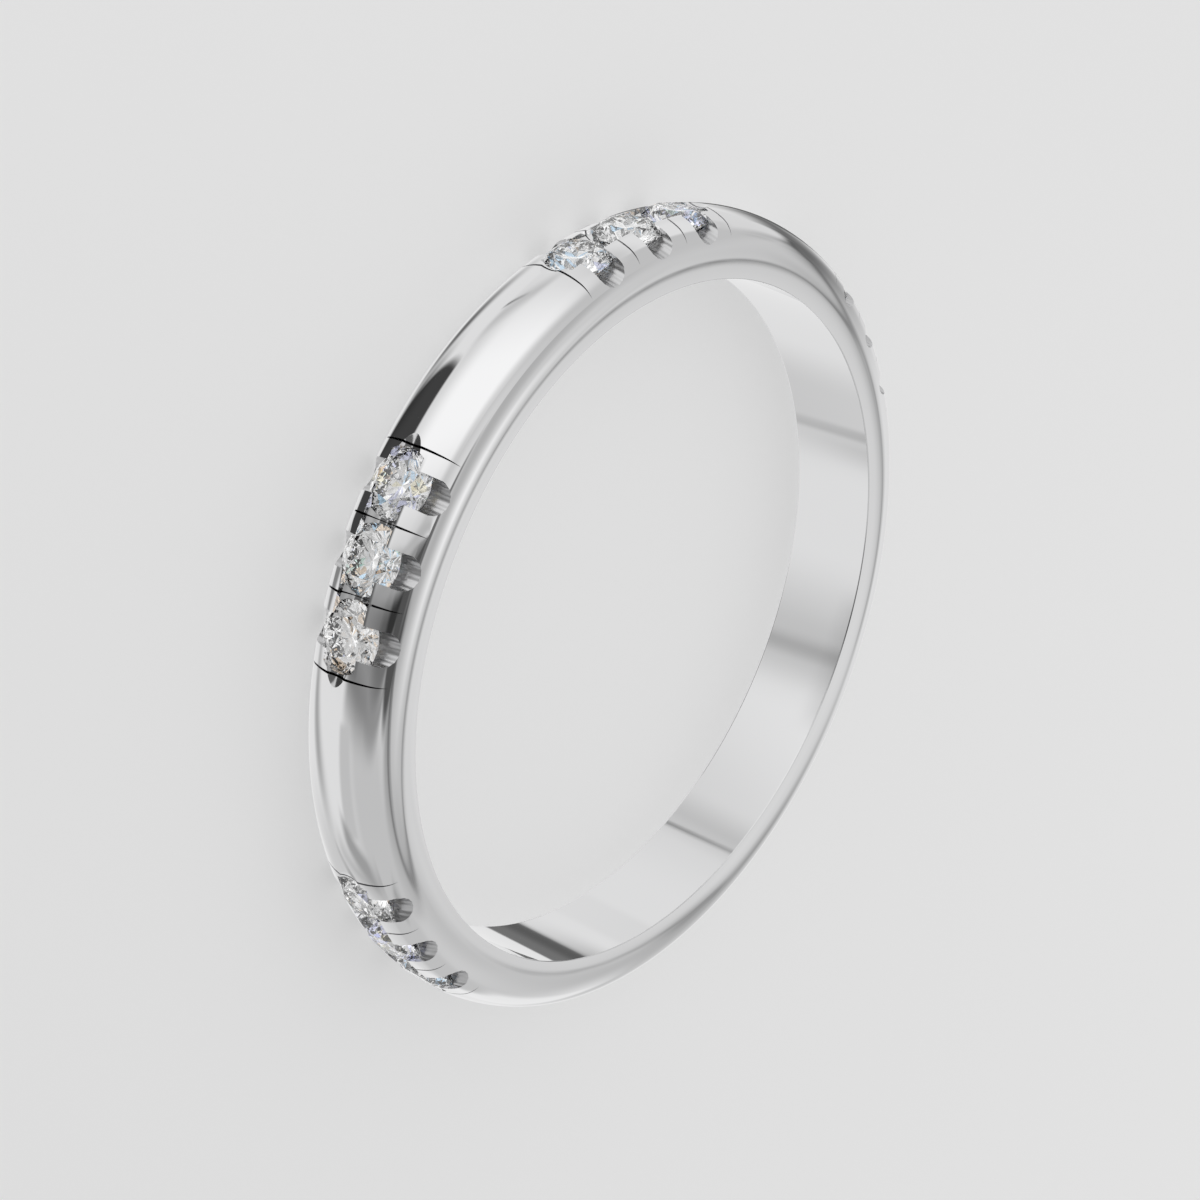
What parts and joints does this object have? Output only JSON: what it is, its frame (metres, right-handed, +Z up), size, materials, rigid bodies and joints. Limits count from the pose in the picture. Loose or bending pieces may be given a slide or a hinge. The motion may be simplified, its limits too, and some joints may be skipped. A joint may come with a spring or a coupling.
{
  "type": "station wedding band",
  "caption": "Low domed finger ring of white metal with groups of small round stones round its front, each held flush in the dome by square corner prongs, and a plain back",
  "frame": {"origin": "centre of the lower side face's circle, on the plane that the ring rests on", "axes": "+Z up, along the axis of the finger hole; +X outwards through the middle of the front, between the second and the third group; +Y a quarter turn on from +X, seen from above"},
  "size_m": [0.02, 0.02, 0.0023],
  "materials": {
    "white_gold": "high polish all over, inside and out",
    "stone": "clear colourless cut stone with polished facets"
  },
  "bodies": {
    "root": {"band": "white_gold", "stone_1_1": "stone", "stone_1_2": "stone", "stone_1_3": "stone", "stone_2_1": "stone", "stone_2_2": "stone", "stone_2_3": "stone", "stone_3_1": "stone", "stone_3_2": "stone", "stone_3_3": "stone", "stone_4_1": "stone", "stone_4_2": "stone", "stone_4_3": "stone"}
  },
  "joints": []
}
